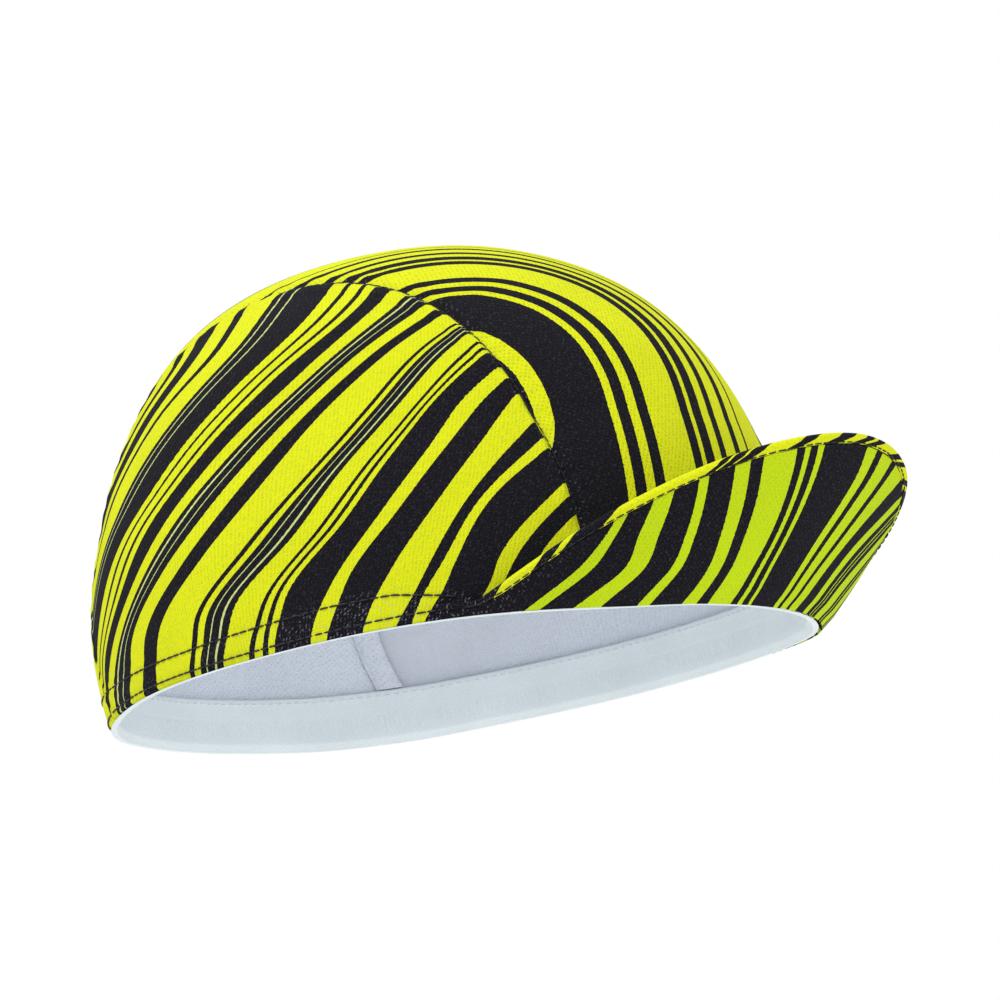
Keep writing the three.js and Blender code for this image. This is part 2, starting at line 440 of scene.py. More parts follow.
def newMaterial(name):
    material = bpy.data.materials.new(name)
    material.use_nodes = True
    nodes = Nodes(material.node_tree)
    surface = material.node_tree.nodes["Principled BSDF"]
    return material, nodes, surface


def clothMap(nodes, name):
    return nodes.add("ShaderNodeUVMap", uv_map=name).outputs["UV"]


def placeGroup(nodes, group, values):
    node = nodes.add("ShaderNodeGroup")
    node.node_tree = group
    for key, value in values.items():
        nodes.feed(node.inputs[key], value)
    return node


# Colour of a printed stripe: steps of colour along one coordinate. A ramp holds at most 32 steps.
def stripeColour(nodes, place, bands, reach, palette):
    low, high = reach
    steps = [(low, "yellow")]
    for start, end, dye in bands:
        if steps[-1][0] >= start:
            steps.pop()
        steps += [(start, dye), (end, "yellow")]
    size = 30
    colour = None
    for first in range(0, len(steps), size):
        part = steps[first:first + size]
        start = part[0][0]
        end = steps[first + size][0] if first + size < len(steps) else high
        ramp = nodes.add("ShaderNodeValToRGB")
        ramp.color_ramp.interpolation = "CONSTANT"
        nodes.feed(ramp.inputs["Fac"], nodes.mapRange(place, start, end))
        elements = ramp.color_ramp.elements
        elements.remove(elements[1])
        elements[0].position = 0
        elements[0].color = palette[part[0][1]]
        for position, dye in part[1:]:
            element = elements.new((position - start) / (end - start))
            element.color = palette[dye]
        if colour is None:
            colour = ramp.outputs["Color"]
        else:
            colour = nodes.mix(nodes.math("GREATER_THAN", place, start), colour, ramp.outputs["Color"])
    return colour


def placeKnit(nodes, cloth, settings):
    return placeGroup(nodes, knitGroup, {
        "Cloth": cloth,
        "Eyelet Pitch": settings["eyeletPitch"],
        "Course Pitch": settings["coursePitch"],
        "Slant": settings["slant"],
        "Eyelet Depth": settings["eyeletDepth"],
    })


# Faded dye, a dull finish and a bump from the knit, all on one surface
def finishCloth(nodes, surface, knit, settings, colours):
    fade = placeGroup(nodes, fadeGroup, {
        **{label: knit.outputs[label] for label in ("Eyelet", "Grain", "Broad", "Patch")},
        "Fleck": settings["fleck"],
        "Eyelet Shade": settings["eyeletShade"],
        **colours,
    })
    nodes.feed(surface.inputs["Base Color"], fade.outputs["Colour"])
    surface.inputs["Roughness"].default_value = settings["roughness"]
    surface.inputs["Specular IOR Level"].default_value = settings["gloss"]
    surface.inputs["Sheen Weight"].default_value = settings["sheen"]
    addBump(nodes, surface, knit.outputs["Height"], settings["bump"], settings["bumpDepth"])


def addBump(nodes, surface, height, strength, depth):
    bump = nodes.add("ShaderNodeBump")
    bump.inputs["Strength"].default_value = strength
    bump.inputs["Distance"].default_value = depth * mm
    nodes.feed(bump.inputs["Height"], height)
    nodes.feed(surface.inputs["Normal"], bump.outputs["Normal"])


def printedCloth(name, settings, bands, reach, palette):
    material, nodes, surface = newMaterial(name)
    cloth = clothMap(nodes, "cloth")
    knit = placeKnit(nodes, cloth, settings)
    split = nodes.add("ShaderNodeSeparateXYZ")
    nodes.feed(split.inputs[0], clothMap(nodes, "print"))
    place = nodes.math("MULTIPLY_ADD", split.outputs["X"], reach[1] - reach[0], reach[0])
    ragged = nodes.math("SUBTRACT", nodes.noise(cloth, 1.5, 2.0), 0.5)
    place = nodes.math("MULTIPLY_ADD", ragged, settings["edgeRagged"], place)
    place = nodes.math("MULTIPLY_ADD", knit.outputs["Height"], settings["edgeKnit"], place)
    finishCloth(nodes, surface, knit, settings, {
        "Colour": stripeColour(nodes, place, bands, reach, palette),
        "Yarn Colour": dyes["yarn"],
        "Wear": split.outputs["Y"],
    })
    surface.inputs["Sheen Roughness"].default_value = 0.5
    return material


def plainCloth(name, dye, settings):
    material, nodes, surface = newMaterial(name)
    knit = placeKnit(nodes, clothMap(nodes, "cloth"), settings)
    finishCloth(nodes, surface, knit, settings, {"Colour": dyes[dye], "Yarn Colour": dyes["threadPale"]})
    return material


def threadMaterial(name, dye):
    material, nodes, surface = newMaterial(name)
    place = nodes.add("ShaderNodeTexCoord").outputs["Object"]
    strand = nodes.noise(place, 2600.0)
    colour = nodes.mix(nodes.mapRange(strand, 0.3, 0.7), dyes[dye], [0.75 * c for c in dyes[dye][:3]] + [1])
    nodes.feed(surface.inputs["Base Color"], colour)
    surface.inputs["Roughness"].default_value = 0.6
    addBump(nodes, surface, strand, 0.4, 0.1)
    return material


printSettings = {
    "eyeletPitch": 1.25,
    "coursePitch": 1.9,
    "slant": 0.12,
    "eyeletDepth": 0.8,
    "eyeletShade": 0.22,
    "edgeRagged": 0.24,
    "edgeKnit": 0.1,
    "fleck": 0.03,
    "roughness": 0.85,
    "gloss": 0.1,
    "sheen": 0.015,
    "bump": 0.5,
    "bumpDepth": 0.35,
}
plainFinish = {"roughness": 0.9, "gloss": 0.25, "sheen": 0.1}
insideSettings = {
    **printSettings,
    **plainFinish,
    "eyeletDepth": 0.35,
    "eyeletShade": 0.09,
    "fleck": 0.35,
    "bump": 0.6,
    "bumpDepth": 0.5,
}
insideCloth = plainCloth("insideKnit", "lavender", insideSettings)
blackThread = threadMaterial("blackThread", "threadBlack")
paleThread = threadMaterial("paleThread", "threadPale")


# Finds the stripe coordinate of a point from given lines. The lines run down the rows of the
# chart, each with the place where it crosses a row, and they carry the names given in "lines".
def stripePlace(chart, across, down):
    rows = np.array(chart["rows"], float)
    table = np.array(chart["table"], float)
    down = np.clip(down, rows[0], rows[-1])
    span = np.clip(np.searchsorted(rows, down, side="right") - 1, 0, len(rows) - 2)
    share = ((down - rows[span]) / (rows[span + 1] - rows[span]))[..., None]
    slopes = np.gradient(table, rows, axis=0)
    step = (rows[span + 1] - rows[span])[..., None]
    a, b = table[span], table[span + 1]
    slopeA, slopeB = slopes[span] * step, slopes[span + 1] * step
    square, cube = share ** 2, share ** 3
    at = a * (2 * cube - 3 * square + 1) + slopeA * (cube - 2 * square + share)
    at = at + b * (3 * square - 2 * cube) + slopeB * (cube - square)
    names = np.array(chart["lines"], float)
    found = np.zeros(across.shape) + names[0]
    last = len(names) - 2
    for index in range(len(names) - 1):
        part = (across - at[..., index]) / np.maximum(at[..., index + 1] - at[..., index], 1e-3)
        low = -20 if index == 0 else 0
        high = 20 if index == last else 1
        found = found + np.clip(part, low, high) * (names[index + 1] - names[index])
    return found


# A piece from closed loops of points, as the solids have them: each loop runs out along one face and
# back along the other. maps holds a pair of values for each point, slotOf the material of each stretch.
def loftPiece(name, loops, maps, materials, slotOf, ring=False):
    count, size = loops.shape[0], loops.shape[1]
    spans = count if ring else count - 1
    here = np.arange(spans)[:, None]
    index = np.arange(size)[None, :]
    following = (index + 1) % size
    corners = [(here, index), (here, following), (here + 1, following), (here + 1, index)]

    def numbered(rowOf):
        quads = [rowOf(row) * size + column + 0 * here for row, column in corners]
        return np.stack(quads, -1).reshape(-1, 4)

    quads = numbered(lambda row: row % count)
    mapAt = numbered(lambda row: row)
    slots = np.tile([slotOf(column) for column in range(size)], spans)
    if not ring:
        column = np.arange(size // 2 - 1)
        facing = size - 1 - column
        start = np.stack([column, facing, facing - 1, column + 1], -1)
        ends = np.concatenate([start, start[:, ::-1] + (count - 1) * size])
        quads = np.concatenate([quads, ends])
        mapAt = np.concatenate([mapAt, ends])
        slots = np.concatenate([slots, np.zeros(len(ends), int)])
    points = loops.reshape(-1, 3) * mm
    a, b, c, d = (points[quads[:, k]] for k in range(4))
    volume = (np.cross(a, b) * c).sum() + (np.cross(a, c) * d).sum()
    if volume < 0:
        quads, mapAt = quads[:, ::-1], mapAt[:, ::-1]
    mesh = bpy.data.meshes.new(name)
    mesh.from_pydata(points.tolist(), [], quads.tolist())
    for mapName, values in maps.items():
        layer = mesh.uv_layers.new(name=mapName)
        flat = values.reshape(-1, 2)[mapAt.ravel()]
        layer.uv.foreach_set("vector", flat.astype(np.float32).ravel())
    mesh.polygons.foreach_set("material_index", slots.astype(np.int32))
    for material in materials:
        mesh.materials.append(material)
    shape = bmesh.new()
    shape.from_mesh(mesh)
    bmesh.ops.remove_doubles(shape, verts=shape.verts, dist=4e-6)
    bmesh.ops.dissolve_degenerate(shape, edges=shape.edges, dist=2e-6)
    shape.to_mesh(mesh)
    shape.free()
    mesh.polygons.foreach_set("use_smooth", np.ones(len(mesh.polygons), bool))
    mesh.set_sharp_from_angle(angle=math.radians(55))
    mesh.update()
    return addObject(name, mesh)


def settle(piece, slot, *nodes):
    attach(piece, "root")
    if nodes:
        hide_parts(*nodes)
    print("piece:", piece.name, len(piece.data.polygons), "faces")


# A stitch is a short closed tube: where its rings stand along it, and how wide and how high they are
thread = {
    "sides": 6,
    "along": (0.0, 0.1, 0.35, 0.65, 0.9, 1.0),
    "width": (0.35, 0.85, 1.0, 1.0, 0.85, 0.35),
    "rise": (-0.9, 0.1, 0.55, 0.55, 0.1, -0.9),
}


# Stitches as small threads along a line on the cloth
def makeStitches(name, rows, settings, material, slot):
    sides = thread["sides"]
    along, width, rise = (np.array(thread[key]) for key in ("along", "width", "rise"))
    around = np.linspace(0, 2 * np.pi, sides, endpoint=False)
    tube = []
    for low in range(0, (len(along) - 1) * sides, sides):
        for column in range(sides):
            following = (column + 1) % sides
            tube.append((low + column, low + following, low + sides + following, low + sides + column))
    last = (len(along) - 1) * sides
    tube += [tuple(reversed(range(sides))), tuple(range(last, last + sides))]
    points, faces = [], []
    for path, normal in rows:
        run = runAlong(path, 0)
        pitch = settings["length"] + settings["gap"]
        count = int(run[-1] // pitch)
        starts = np.arange(count) * pitch + settings["gap"] / 2
        sample = starts[:, None] + along[None, :] * settings["length"]
        centre = np.stack([np.interp(sample, run, path[:, k]) for k in range(3)], -1)
        out = unit(np.stack([np.interp(sample, run, normal[:, k]) for k in range(3)], -1))
        forward = unit(centre[:, -1] - centre[:, 0])[:, None, :]
        side = unit(np.cross(out, forward))
        slant = settings.get("slant", 0.0) * (along - 0.5)[None, :, None]
        radius = settings["radius"]
        centre = centre + out * (radius * rise)[None, :, None] + side * slant
        ringPart = np.cos(around)[None, None, :, None] * side[:, :, None, :]
        ringPart = ringPart + np.sin(around)[None, None, :, None] * out[:, :, None, :]
        ringPoints = centre[:, :, None, :] + ringPart * (radius * width)[None, :, None, None]
        starts = len(points) + np.arange(count) * len(along) * sides
        points += ringPoints.reshape(-1, 3).tolist()
        faces += [tuple(int(start) + corner for corner in face) for start in starts for face in tube]
    mesh = bpy.data.meshes.new(name)
    mesh.from_pydata((np.array(points) * mm).tolist(), [], faces)
    mesh.materials.append(material)
    mesh.polygons.foreach_set("use_smooth", np.ones(len(mesh.polygons), bool))
    mesh.update()
    settle(addObject(name, mesh), slot)


# A smooth hump of height one
def hump(value, at, width):
    return np.exp(-((value - at) / width) ** 2)


# A wave along the cloth whose bumps aren't all alike
def ripple(run, settings):
    sway = settings["sway"] * np.sin(run / settings["swayLength"])
    return settings["height"] * np.sin(2 * np.pi * run / settings["length"] + sway)


# Falls from one to zero over its reach, as a quarter of a circle does
def quarterRound(value, reach):
    near = np.clip(1 - value / reach, 0, 1)
    return 1 - np.sqrt(1 - near ** 2)


# How the cloth stands off the plain crown where it is sewn, in millimetres
relief = {
    "seamDip": 0.75,
    "seamDipWidth": 1.0,
    "seamRipple": {"height": 0.14, "length": 6.5, "sway": 1.3, "swayLength": 17},
    "seamRippleAt": 1.5,  # how far from the seam it is at its highest
    "seamRippleWidth": 3,
    "seamFold": (0.4, 1.6),  # where the folded part starts
    "foldedHeight": 0.3,  # of the seam allowance that shows through
    "foldEnd": (4.5, 7.0),
    # plan angles from the front in degrees, and the heights of the two stitch rows there
    "hemMarks": (48, 54, 62, 74, 90, 108, 128, 155, 180),
    "hemLow": (2.3, 2.4, 2.3, 2.0, 1.7, 1.5, 1.5, 1.7, 1.8),
    "hemHigh": (4.2, 6.2, 8.2, 8.4, 7.7, 7.0, 6.9, 8.0, 9.0),
    "hemDip": 0.2,
    "hemDipWidth": 0.7,
    "hemPuff": 0.2,
    "hemRipple": {"height": 0.07, "length": 5.6, "sway": 1.1, "swayLength": 23},
    "hemRippleReach": 7,  # above the upper row
    "edgeRoll": 0.5,  # the lower edge of the hem turns inwards
    "edgeRollHeight": 0.9,
    "broad": 0.22,
    "hemWear": 0.42,
    "hemWearBehind": 0.2,  # of the wear in front
    "wearAhead": (-30, 50),
    "seamWear": 0.14,
    "seamWearSpan": (0.6, 2.6),
    "leastWear": 0.05,
}


def hemHeights(point):
    turned = np.degrees(np.abs(np.arctan2(point[..., 1], point[..., 0])))
    return [np.interp(turned, relief["hemMarks"], relief[row]) for row in ("hemLow", "hemHigh")]


def sewnRelief(base, seamDistance, seamRun, rimRun, foldedSide):
    dip = -relief["seamDip"] * hump(seamDistance, 0, relief["seamDipWidth"])
    nearSeam = hump(seamDistance, relief["seamRippleAt"], relief["seamRippleWidth"])
    puckers = ripple(seamRun, relief["seamRipple"]) * nearSeam
    folded = 0.0
    if foldedSide:
        folded = relief["foldedHeight"] * smoothStep(seamDistance, *relief["seamFold"])
        folded = folded * (1 - smoothStep(seamDistance, *relief["foldEnd"]))
    x, y, z = base[..., 0], base[..., 1], base[..., 2]
    lowRow, highRow = hemHeights(base)
    hem = relief["hemPuff"] * smoothStep(z, 0.2, 2.0) * (1 - smoothStep(z, highRow - 1, highRow + 3))
    for row in (lowRow, highRow):
        hem = hem - relief["hemDip"] * hump(z, row, relief["hemDipWidth"])
    belowReach = 1 - smoothStep(z, highRow, highRow + relief["hemRippleReach"])
    hem = hem + ripple(rimRun, relief["hemRipple"]) * belowReach
    edge = -relief["edgeRoll"] * quarterRound(z, relief["edgeRollHeight"])
    broad = np.sin(x / 13 + z / 19) * np.sin(y / 15 - z / 11)
    return dip + puckers + folded + hem + edge + relief["broad"] * broad


# Where the stretched knit shows its pale yarn: along the hem, most near the peak, and along the seams
def sewnWear(base, seamDistance):
    highRow = hemHeights(base)[1]
    low = 1 - smoothStep(base[..., 2], highRow - 2, highRow + 3)
    ahead = smoothStep(base[..., 0], *relief["wearAhead"])
    hem = relief["hemWear"] * low * lerp(relief["hemWearBehind"], 1, ahead)
    seam = relief["seamWear"] * (1 - smoothStep(seamDistance, *relief["seamWearSpan"]))
    return np.clip(np.maximum(hem, seam) + relief["leastWear"], 0, 1)


def closedGrid(outer, inner):
    return np.concatenate([outer, inner[:, ::-1]], axis=1)


# The print's map holds each point's share of the stripes' reach, and its wear
def panelMaps(place, reach, wear, cloth):
    low, high = reach
    printed = np.stack([(place - low) / (high - low), wear + 0 * place], -1)
    return {"print": closedGrid(printed, printed), "cloth": closedGrid(cloth, cloth)}


# The inner half of a panel's loop shows the bare back of the cloth
def insideFrom(count):
    return lambda column: int(count <= column < 2 * count - 1)


# Shares from 0 to 1 that lie closer together towards the end, or towards both ends. At 1 they are even.
def denseEnds(count, even, both=True):
    plain = np.linspace(-1 if both else 0, 1, count)
    dense = plain * even + (1 - even) * np.sin(plain * np.pi / 2)
    return dense * 0.5 + 0.5 if both else dense


print("stage: centre panel")

centre = {
    "rows": 300,
    "columns": 101,
    "arcMarks": (0, 25, 45, 60, 75, 90, 105, 120, 135, 150, 170, 200, 250, 357),
    "drift": (-17, -11.5, -7, -3, 0, -1.5, -9, -21, -32, -42, -56, -66, -75, -80),
    "driftSmoothing": 8,  # rows on each side
    "squeeze": 0.01,  # of the stripes' width for each millimetre of drift
    "squeezeFrom": -15,
    # draws the wide black band to the right seam, low on the front
    "seamPull": {"by": 4, "at": 46, "length": 10, "from": 36, "full": 45},
    "reach": (-65, 175),
    "black": (
        (-60, -56), (-52, -47), (-42.8, -29.2), (-27, -24.1), (-21.2, -18.2), (-6.9, -3.4), (-1.6, 2.1),
        (5.1, 8.2), (12.8, 15.4), (20, 21.2), (34, 37), (40, 44.5), (47, 49), (56, 68), (71.5, 74),
        (77, 79.5), (90, 93), (95.5, 104), (111, 113.5), (116, 119), (127, 139), (143, 145.5), (149, 152),
        (161, 168),
    ),
}


def makeCentrePanel():
    angle = np.pi * denseEnds(centre["rows"], even=0.8)[:, None]
    share = (2 * denseEnds(centre["columns"], even=0.7) - 1)[None, :]
    reach = seamHalfWidth(angle)
    base = hitOnSection(reach * share, angle, 0)
    arc = runAlong(hitOnSection(0, angle, 0), 0)
    seamDistance = reach * (1 - np.abs(share))
    rimRun = base[..., 1] + np.where(base[..., 0] > 0, 0, 300)  # other waves at the back
    stand = sewnRelief(base, seamDistance, arc, rimRun, False)
    outer = lifted(base) + crownNormal(base) * stand[..., None]
    inner = lifted(hitOnSection(reach * share, angle, cap["clothThickness"]))
    drift = np.interp(arc, centre["arcMarks"], centre["drift"])
    half = centre["driftSmoothing"]
    drift = np.pad(drift[:, 0], half, mode="edge")
    drift = np.convolve(drift, np.ones(2 * half + 1) / (2 * half + 1), "valid")[:, None]
    squeeze = centre["squeeze"] * np.maximum(drift, centre["squeezeFrom"])
    place = (base[..., 1] - drift - squeeze) / (1 + squeeze)
    pull = centre["seamPull"]
    nearSeam = smoothStep(-base[..., 1], pull["from"], pull["full"])
    place = place + pull["by"] * nearSeam * hump(arc, pull["at"], pull["length"])
    cloth = np.stack([base[..., 1], arc + 0 * share], -1)
    maps = panelMaps(place, centre["reach"], sewnWear(base, seamDistance), cloth)
    bands = [(start, end, "black") for start, end in centre["black"]]
    printedMaterial = printedCloth("printedCentre", printSettings, bands, centre["reach"], dyes)
    materials = [printedMaterial, insideCloth]
    loops = closedGrid(outer, inner)
    piece = loftPiece("crownCentrePanel", loops, maps, materials, insideFrom(centre["columns"]))
    settle(piece, "centre_cloth", "crown_centre_panel")


makeCentrePanel()

print("stage: side panels")

side = {
    "columns": 290,
    "rows": 84,
    "reach": (-135, 95),
    # lines of the stripes: each column is one line, each row its place along the panel at a height
    "chart": {
        "rows": (0, 7.5, 15, 30, 45, 60, 75, 90, 105),
        "lines": (
            -98, -93, -88.5, -86, -79, -66, -61, -55.8, -52.2, -46, -41.7, -31.7, -24.3, -17,
            -2, 14.5, 21.4, 26.5, 28.6, 37.9, 42.2, 51, 58, 61, 63.8, 75.4, 79, 84,
        ),
        "table": (
            (-118, -112, -104, -101, -93, -83, -80, -76, -74, -71, -66.5, -55.5, -48, -41,
             -27, -14, -5, 2, 4.2, 15.5, 20, 30, 39, 43, 46.5, 57, 61, 66),
            (-116, -110, -102, -99, -91, -80, -77, -73.5, -71.5, -68.5, -63.8, -52, -45, -38.8,
             -23.8, -10.4, -1.2, 4.8, 7.2, 19, 24.2, 34.2, 44.6, 47, 52, 62, 65, 70),
            (-112, -106, -99, -96, -88, -76, -73, -70, -67.7, -62.7, -58, -49.2, -42, -35.4,
             -20.8, -6.5, 3.5, 8.8, 11.2, 24.6, 28.5, 39.6, 49.2, 52.3, 55.8, 65, 68.8, 73.5),
            (-98, -93, -88.5, -86, -79, -66, -61, -55.8, -52.2, -46, -41.7, -31.7, -24.3, -17,
             -2, 14.5, 21.4, 26.5, 28.6, 37.9, 42.2, 51, 58, 61, 63.8, 75.4, 79, 84),
            (-86, -80, -76, -74, -66.5, -51.6, -47.8, -42.4, -38.4, -29.8, -24.4, -11.8, -5.2, 3,
             17.4, 28.2, 34.3, 38.3, 40, 48.6, 52.7, 60, 67, 72, 75.8, 86, 90, 95),
            (-75, -68, -63.8, -61.5, -50.8, -31, -27.5, -21.3, -17.7, -9, -3, 7.7, 13, 18.8,
             32.3, 41.2, 45.8, 49, 50, 56.5, 61.5, 67, 76, 81, 84, 94, 98, 102),
            (-55.4, -48.5, -44.2, -42, -30, -10.8, -6.4, -1, 3, 12.3, 17.7, 26.2, 31.2, 35.8,
             43.8, 51.5, 56, 60.4, 62, 69, 74, 80, 88, 92, 95, 103, 107, 111),
            (-38, -32, -24.6, -21.2, -12.5, 7.7, 12.5, 18.3, 22.3, 28, 33.9, 43, 48, 52,
             58.5, 65, 69, 74, 76, 82, 87, 93, 100, 104, 107, 115, 119, 123),
            (-36.5, -28.8, -22.3, -18.5, -7.7, 12.7, 18, 23, 26, 32, 38, 47, 53, 57,
             64, 72, 77, 82, 84, 90, 95, 101, 108, 112, 115, 123, 127, 131),
        ),
    },
    "black": (
        (-131, -126), (-122, -119.5), (-114, -108), (-104, -101.5), (-98, -93), (-88.5, -86), (-79, -66),
        (-61.9, -60.3), (-56.6, -55.1), (-52.2, -46), (-41.7, -31.7), (-24.3, -17), (-2, 0.9),
        (3.8, 14.5), (21.4, 22.9), (24.8, 26.5), (28.6, 37.9), (42.2, 51), (58, 61), (63.8, 75.4),
        (79, 84), (88, 92),
    ),
    # fine pale lines in the black
    "pale": (
        (-77.6, -77.1), (-74.6, -74.1), (-39.4, -38.8), (-36, -35.4), (6.5, 7.1), (10.8, 11.4),
    ),
}


# Puts the pale lines on top of the black bands
def layBands(black, pale):
    laid = []
    for start, end in black:
        for low, high in pale:
            if start < low and high < end:
                laid.append((start, low, "black"))
                laid.append((low, high, "pale"))
                start = high
        laid.append((start, end, "black"))
    return laid


def makeSidePanel(name, sign, node):
    along = denseEnds(side["columns"], even=0.85)[:, None]
    share = denseEnds(side["rows"], even=0.6, both=False)[None, :]
    setBack, height = cap["crownSetBack"], cap["crownHeight"]

    def seamPoint(turn, inset):
        angle = np.pi * turn
        point = hitOnSection(sign * (seamHalfWidth(angle) + cap["pieceGap"]), angle, inset)
        axis = -setBack * point[..., 2] / height
        return point[..., 2], np.arctan2(point[..., 1], point[..., 0] - axis)

    def face(inset):
        top, topAngle = seamPoint(along, inset)
        ends = seamPoint(np.array([0.0, 1.0]), inset)[1]
        rimAngle = lerp(ends[0], ends[1], along)
        return hitAtHeight(lerp(rimAngle, topAngle, share), top * share, inset)

    base = face(0)
    seamRun = runAlong(base[:, -1:], 0)
    rise = runAlong(base, 1)
    seamDistance = rise[:, -1:] - rise
    rimRun = runAlong(base[:, :1], 0)
    stand = sewnRelief(base, seamDistance, seamRun, rimRun, True)
    outer = lifted(base) + crownNormal(base) * stand[..., None]
    inner = lifted(face(cap["clothThickness"]))
    place = stripePlace(side["chart"], base[..., 0], base[..., 2])
    cloth = np.stack([lerp(rimRun, seamRun, share), rise], -1)
    maps = panelMaps(place, side["reach"], sewnWear(base, seamDistance), cloth)
    materials = [printedSide, insideCloth]
    piece = loftPiece(name, closedGrid(outer, inner), maps, materials, insideFrom(side["rows"]))
    settle(piece, "side_cloth", node)


sidePrint = {**printSettings, "eyeletPitch": 1.0, "coursePitch": 1.55, "eyeletShade": 0.17}
sideBands = layBands(side["black"], side["pale"])
printedSide = printedCloth("printedSide", sidePrint, sideBands, side["reach"], dyes)
makeSidePanel("crownSidePanelRight", -1, "crown_side_panel_right")
makeSidePanel("crownSidePanelLeft", 1, "crown_side_panel_left")

print("stage: sweatband and seam allowances")

band = {
    "height": 15.5,
    "thickness": 1.4,
    "columns": 2400,
    "outerLevels": (0, 0.12, 0.18, 0.8, 2.5, 6, 10, 14.6, 15.35, 15.5),
    "innerLevels": (
        0, 0.12, 0.18, 0.8, 1.5, 2.1, 2.7, 3.3, 4, 6, 7.6, 8.3, 8.8, 9.3, 10, 12, 14.2, 15, 15.35, 15.5,
    ),
    "ribPitch": 1.35,
    "ribDepth": 0.17,
    "ribsFrom": 3.3,
    "ribsTo": 8.6,
    "ribsFade": 0.7,
    "grooves": ((2.7, 0.24, 0.7), (8.8, 0.14, 0.5)),  # height, depth and width of each
    "topBead": {"height": 0.2, "at": 14.8, "width": 0.5},
    "topRound": 0.45,
    "topRoundReach": 0.5,
    "footRound": 0.12,
    "footRoundReach": 0.7,
    "edgeDrop": 0.12,  # the elastic's lower edge shows this far below the hem
    "edgeFlare": 0.5,  # and turns outwards to meet it
    "edgeHeight": 2.5,
    "lip": 1.3,  # the thin edge that lies under the hem
    "lipHeight": 0.15,
    "edgeThin": 1.5,
}
bandCloth = {
    **plainFinish,
    "eyeletPitch": 0.7,
    "coursePitch": 1.1,
    "slant": 0.0,
    "eyeletDepth": 0.3,
    "eyeletShade": 0.04,
    "fleck": 0.1,
    "bump": 0.3,
    "bumpDepth": 0.2,
}


def makeSweatband():
    turn = np.linspace(0, 2 * np.pi, band["columns"] + 1)[:, None]
    outerInset = cap["clothThickness"] + cap["insideGap"]

    def rounding(level):
        top = band["topRound"] * quarterRound(band["height"] - level, band["topRoundReach"])
        return top + band["footRound"] * quarterRound(level, band["footRoundReach"])

    def low(level):
        return 1 - smoothStep(level, 0, band["edgeHeight"])

    def placed(level, inset, towardsHead):
        base = hitAtHeight(turn, level, inset)
        drop = np.array([0.0, 0.0, band["edgeDrop"]]) * low(level)[..., None]
        return lifted(base) - crownNormal(base) * towardsHead[..., None] - drop

    level = np.array(band["outerLevels"])[None, :]
    run = runAlong(hitAtHeight(turn, 0, outerInset), 0)
    lip = band["lip"] * (level < band["lipHeight"])
    stand = rounding(level) - band["edgeFlare"] * low(level) - lip
    outer = placed(level, outerInset, stand)
    outerCloth = np.stack([run + 0 * level, level + 0 * run], -1)
    level = np.array(band["innerLevels"])[None, :]
    ribbed = smoothStep(level, band["ribsFrom"], band["ribsFrom"] + band["ribsFade"])
    ribbed = ribbed * (1 - smoothStep(level, band["ribsTo"] - band["ribsFade"], band["ribsTo"]))
    rib = band["ribDepth"] * (0.5 + 0.5 * np.cos(2 * np.pi * run / band["ribPitch"])) * ribbed
    sunk = sum(depth * hump(level, height, width) for height, depth, width in band["grooves"])
    bead = band["topBead"]
    raised = bead["height"] * hump(level, bead["at"], bead["width"])
    stand = raised - rounding(level) - sunk - rib - band["edgeThin"] * low(level)
    inner = placed(level, outerInset + band["thickness"], stand)
    cloth = np.stack([run + 0 * level, level + 0 * run], -1)
    loops = closedGrid(outer, inner)[:-1]
    maps = {"cloth": closedGrid(outerCloth, cloth)}
    material = plainCloth("elasticBand", "mint", bandCloth)
    piece = loftPiece("sweatbandElastic", loops, maps, [material], lambda column: 0, ring=True)
    settle(piece, "band_elastic", "sweatband")


allowance = {
    "width": 6.5,
    "lap": 1,
    "thickness": 1,
    "rows": 260,
    "columns": 22,
    "footGap": -0.35,  # the foot is tucked behind the sweatband's top edge
    "ripple": {"height": 0.3, "length": 7, "sway": 1.4, "swayLength": 21},
    "rippleFrom": 0.3,  # the share of the width where it turns over
    # of overlocking thread, by shares of the width
    "bead": {"height": 0.7, "at": 0.12, "width": 0.09},
    "edgeRound": 0.6,
    "edgeRoundFrom": 0.9,
    "frontFoot": 0.76,  # how much of the width a foot has, measured level
    "backFoot": 0.6,
}


def angleAtHeight(y, height, inset, behind):
    below = np.full(y.shape, math.pi if behind else 0.0)
    above = np.full(y.shape, math.pi / 2)
    for _ in range(halvings):
        middle = (below + above) / 2
        low = hitOnSection(y, middle, inset)[..., 2] < height
        below = np.where(low, middle, below)
        above = np.where(low, above, middle)
    return above


def allowanceGrid(sign, inset, count):
    foot = band["height"] + allowance["footGap"]
    width = allowance["width"] - allowance["lap"]
    reach = np.linspace(-allowance["lap"], width, count)
    halfSeams = [seamHalfWidth(end) for end in (0, math.pi)]
    front = angleAtHeight(sign * (halfSeams[0] + allowance["frontFoot"] * reach), foot, inset, False)
    behind = angleAtHeight(sign * (halfSeams[1] + allowance["backFoot"] * reach), foot, inset, True)
    share = np.linspace(0, 1, allowance["rows"])[:, None]
    angle = lerp(front[None, :], behind[None, :], share)
    # the width is measured along the cloth, which slopes away from the seam
    slope = crownNormal(hitOnSection(sign * seamHalfWidth(angle), angle, inset))[..., 1]
    reach = reach[None, :] * np.sqrt(1 - slope ** 2)
    return hitOnSection(sign * (seamHalfWidth(angle) + reach), angle, inset), angle, reach


